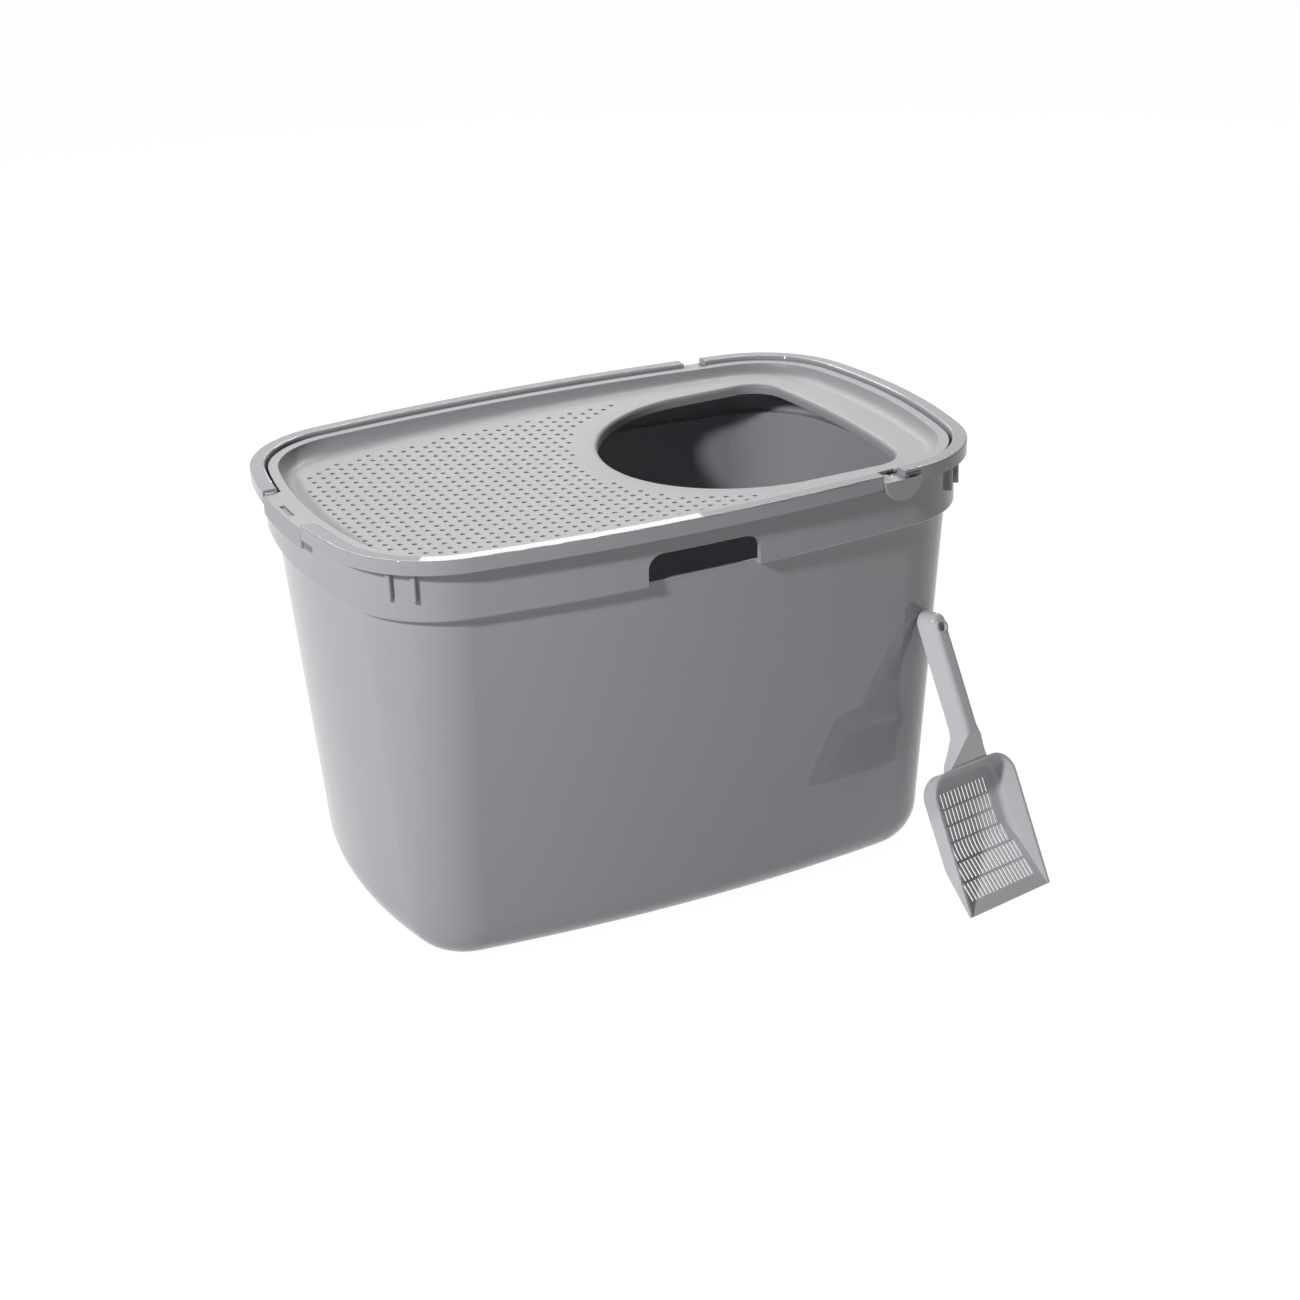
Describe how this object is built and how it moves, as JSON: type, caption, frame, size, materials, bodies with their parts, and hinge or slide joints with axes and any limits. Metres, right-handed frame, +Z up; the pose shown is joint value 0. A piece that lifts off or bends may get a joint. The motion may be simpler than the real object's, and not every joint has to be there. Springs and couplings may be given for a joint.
{
  "type": "top entry litter box",
  "caption": "Bowed, tapering tub with a hinged, perforated tray lid that has a large entry hole and a pull tab, and a slotted scoop leaning on its front corner.",
  "frame": {"origin": "middle of the tub's flat base, on the floor", "axes": "+X along the long side towards the entry hole and the hinge, -Y the front, +Z up"},
  "size_m": [0.59, 0.4648, 0.382],
  "materials": {
    "tub_plastic": "satin moulded",
    "lid_plastic": "satin moulded",
    "scoop_plastic": "satin moulded"
  },
  "bodies": {
    "tub": {"tub": "tub_plastic"},
    "lid": {"lid": "lid_plastic"},
    "scoop": {"scoop": "scoop_plastic"}
  },
  "joints": [
    {"name": "lid_hinge", "type": "hinge", "parent": "tub", "child": "lid", "pos_m": [0.1761, 0, 0.3729], "axis": [0, 1, 0], "range_deg": [0, 100]},
    {"name": "scoop_lift", "type": "slide", "parent": "tub", "child": "scoop", "axis": [0.2999, -0.7498, 0.5898], "range_m": [0, 0.25]}
  ]
}
